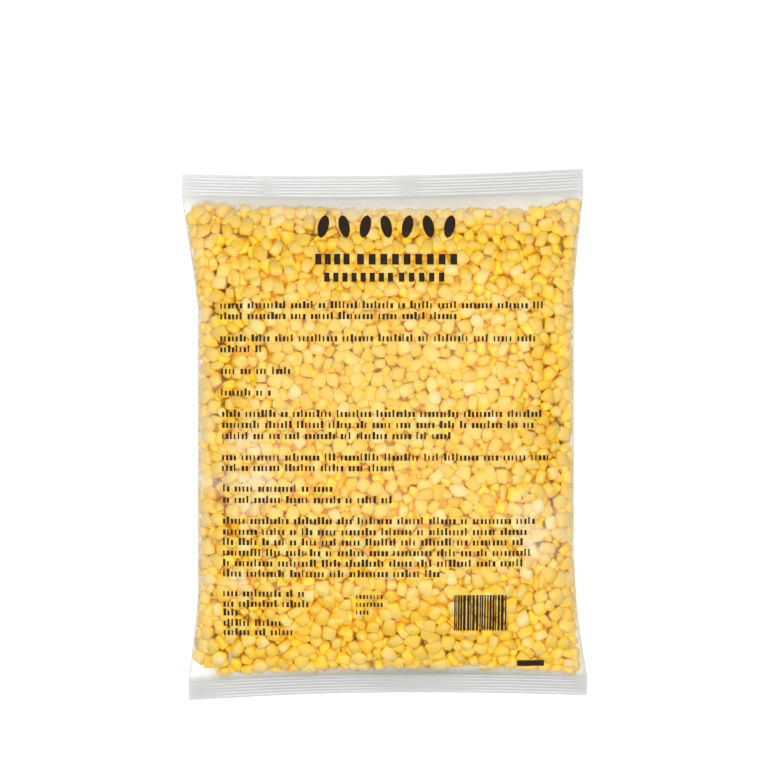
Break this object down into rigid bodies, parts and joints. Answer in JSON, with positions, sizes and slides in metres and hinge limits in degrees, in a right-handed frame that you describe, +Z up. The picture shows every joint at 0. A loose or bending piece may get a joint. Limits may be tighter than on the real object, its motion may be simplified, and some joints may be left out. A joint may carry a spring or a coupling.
{
  "type": "frozen vegetable bag",
  "caption": "Clear pillow bag filled with frozen sweetcorn kernels, lying flat, crimp sealed across both ends, with plain dark print marks on the upper face.",
  "frame": {"origin": "on the table, under the middle of the bag's outline", "axes": "+X across the bag to the right of the print, +Y along the bag to its head, +Z up, out of the printed side"},
  "size_m": [0.224, 0.294, 0.0437],
  "materials": {
    "corn_in_film": "yellow kernels seen through clear glossy film",
    "clear_film": "clear thin film, glossy, faintly hazed with frost",
    "corn": "frozen sweetcorn kernels, waxy with a soft sheen",
    "ink": "black printing ink, satin"
  },
  "bodies": {
    "root": {"filled_bag": "corn_in_film"}
  },
  "joints": []
}
